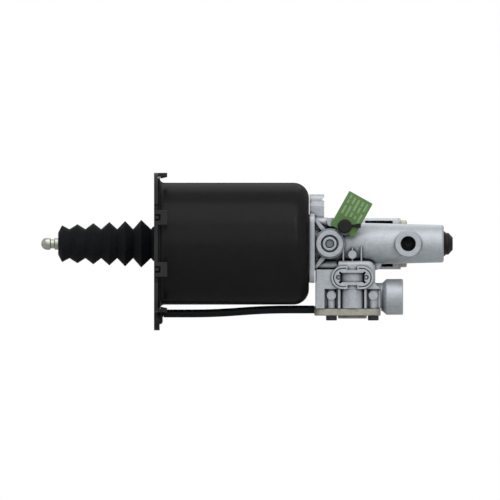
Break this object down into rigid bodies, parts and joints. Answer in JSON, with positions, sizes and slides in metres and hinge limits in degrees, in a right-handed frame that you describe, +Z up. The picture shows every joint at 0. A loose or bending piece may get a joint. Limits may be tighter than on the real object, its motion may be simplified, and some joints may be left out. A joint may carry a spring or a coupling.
{
  "type": "clutch servo",
  "caption": "Air-assisted hydraulic clutch servo: square mounting flange, pressed can, bellowed push rod at one end and a cast valve housing with ports at the other.",
  "frame": {"origin": "centre of the flange's front mounting face on the push-rod axis, which is the centre of its four bolt holes", "axes": "-X along the push rod towards its tip, +X towards the rear plug, +Z up with the relay valve and air port below, -Y the side that the hydraulic ports face"},
  "size_m": [0.3705, 0.1289, 0.1418],
  "materials": {
    "black_paint": "satin black paint",
    "flange_paint": "satin black paint",
    "cast_aluminium": "shot-blasted die casting",
    "turned_aluminium": "turned",
    "zinc_plated": "zinc plated",
    "rod_steel": "zinc plated and ground",
    "plain_steel": "ground",
    "spring_steel": "oil tempered wire",
    "black_screw": "blackened",
    "bronze": "sintered bronze",
    "brass": "turned",
    "boot_rubber": "moulded rubber",
    "seal_rubber": "moulded rubber",
    "hose_rubber": "extruded rubber",
    "cap_rubber": "moulded rubber",
    "black_plastic": "moulded plastic",
    "plug_black": "moulded plastic",
    "tag_green": "printed plastic",
    "gasket_paper": "pressed fibre"
  },
  "bodies": {
    "housing": {"mounting_flange": "flange_paint", "flange_seal": "seal_rubber", "cylinder_can": "black_paint", "boot_spigot": "black_plastic", "rubber_boot": "boot_rubber", "return_spring": "spring_steel", "valve_housing": "cast_aluminium", "housing_gasket": "gasket_paper", "housing_screws": "zinc_plated", "plunger_bush": "bronze", "end_plug": "plug_black", "port_union": "plain_steel", "union_valve": "plain_steel", "bleed_screw": "zinc_plated", "bleed_cap": "cap_rubber", "info_tag": "tag_green", "valve_seat": "brass", "valve_cover": "zinc_plated", "cover_gasket": "gasket_paper", "cover_screws": "black_screw", "valve_spring": "spring_steel", "vent_hose": "hose_rubber", "hose_nozzles": "brass", "silencer_cartridge": "black_plastic", "silencer_cover": "zinc_plated"},
    "rod": {"push_rod": "rod_steel", "rod_retainer": "spring_steel", "power_piston": "turned_aluminium", "piston_seal": "seal_rubber", "piston_guide_ring": "black_plastic", "piston_nut": "zinc_plated", "hydraulic_plunger": "plain_steel", "plunger_seal": "seal_rubber"},
    "relay": {"relay_piston": "turned_aluminium", "relay_seal": "seal_rubber"},
    "valve": {"valve_disc": "brass"}
  },
  "joints": [
    {"name": "rod_slide", "type": "slide", "parent": "housing", "child": "rod", "axis": [1, 0, 0], "range_m": [0, 0.05], "stiffness_N_per_m": 600, "springref_m": -0.08, "deforming": ["rubber_boot", "return_spring"]},
    {"name": "relay_slide", "type": "slide", "parent": "housing", "child": "relay", "axis": [0, 0, -1], "range_m": [0, 0.002]},
    {"name": "valve_slide", "type": "slide", "parent": "housing", "child": "valve", "axis": [0, 0, -1], "range_m": [0, 0.0012], "stiffness_N_per_m": 2000, "springref_m": -0.004, "deforming": ["valve_spring"]}
  ]
}
